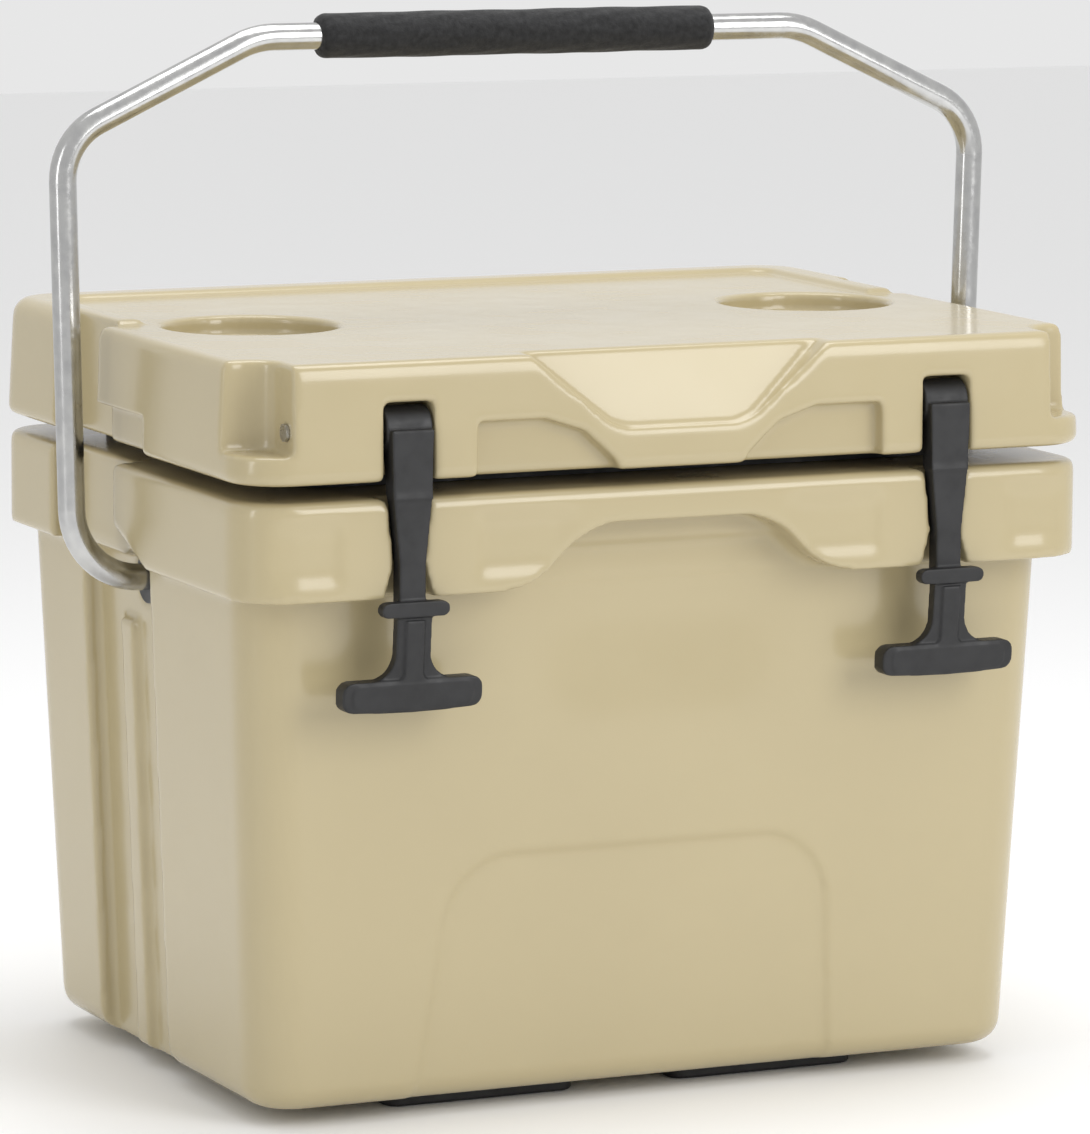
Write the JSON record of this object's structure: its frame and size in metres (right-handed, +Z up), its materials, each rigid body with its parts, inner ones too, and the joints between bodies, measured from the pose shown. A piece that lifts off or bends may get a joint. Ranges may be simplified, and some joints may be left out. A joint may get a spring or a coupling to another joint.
{
  "type": "cooler chest",
  "caption": "Insulated chest with a hinged lid, rubber pull-down latches, cup hollows, finger dish and a swinging bail handle.",
  "frame": {"origin": "centre of the footprint on the surface the feet stand on", "axes": "+Z up, front with the latches towards -Y, +X to the right seen from the front, handle upright and lid shut at rest"},
  "size_m": [0.4858, 0.334, 0.497],
  "materials": {
    "tub_plastic": "gloss moulded tan",
    "lid_plastic": "gloss moulded tan",
    "foam": "rigid insulating foam",
    "screw_steel": "satin",
    "rod_steel": "satin",
    "pin_steel": "satin",
    "tube_steel": "polished stainless",
    "bush_plastic": "matt black",
    "grip_foam": "soft foam, fine mottled",
    "seal_rubber": "matt",
    "latch_rubber": "satin moulded",
    "foot_rubber": "matt"
  },
  "bodies": {
    "tub": {"body_shell": "tub_plastic", "body_foam_core": "foam", "foot_screws": "screw_steel", "hinge_rod": "rod_steel", "foot_front_left": "foot_rubber", "foot_front_right": "foot_rubber", "foot_rear_left": "foot_rubber", "foot_rear_right": "foot_rubber"},
    "lid": {"lid_shell": "lid_plastic", "lid_foam_core": "foam", "lid_gasket": "seal_rubber", "latch_pin_left": "pin_steel", "latch_pin_right": "pin_steel"},
    "latch_l": {"latch_left": "latch_rubber"},
    "latch_r": {"latch_right": "latch_rubber"},
    "handle_pivots": {"pivot_bush_left": "bush_plastic", "pivot_bush_right": "bush_plastic"},
    "handle": {"handle_tube": "tube_steel", "handle_grip": "grip_foam"}
  },
  "joints": [
    {"name": "lid_hinge", "type": "hinge", "parent": "tub", "child": "lid", "pos_m": [0, 0.158, 0.29475], "axis": [-1, 0, 0], "range_deg": [0, 90]},
    {"name": "pivot_turn", "type": "hinge", "parent": "tub", "child": "handle_pivots", "pos_m": [0, 0.007, 0.2365], "axis": [-1, 0, 0], "range_deg": [0, 137.7]},
    {"name": "handle_swing", "type": "hinge", "parent": "handle_pivots", "child": "handle", "pos_m": [0, 0.007, 0.2365], "axis": [-1, 0, 0], "range_deg": [-140, 0]},
    {"name": "latch_left_turn", "type": "hinge", "parent": "lid", "child": "latch_l", "pos_m": [-0.1355, -0.15, 0.322], "axis": [-1, 0, 0], "range_deg": [0, 90]},
    {"name": "latch_right_turn", "type": "hinge", "parent": "lid", "child": "latch_r", "pos_m": [0.1355, -0.15, 0.322], "axis": [-1, 0, 0], "range_deg": [0, 90]}
  ],
  "couplings": [
    {"joint": "pivot_turn", "follows": "lid_hinge", "ratio": 1.53}
  ]
}
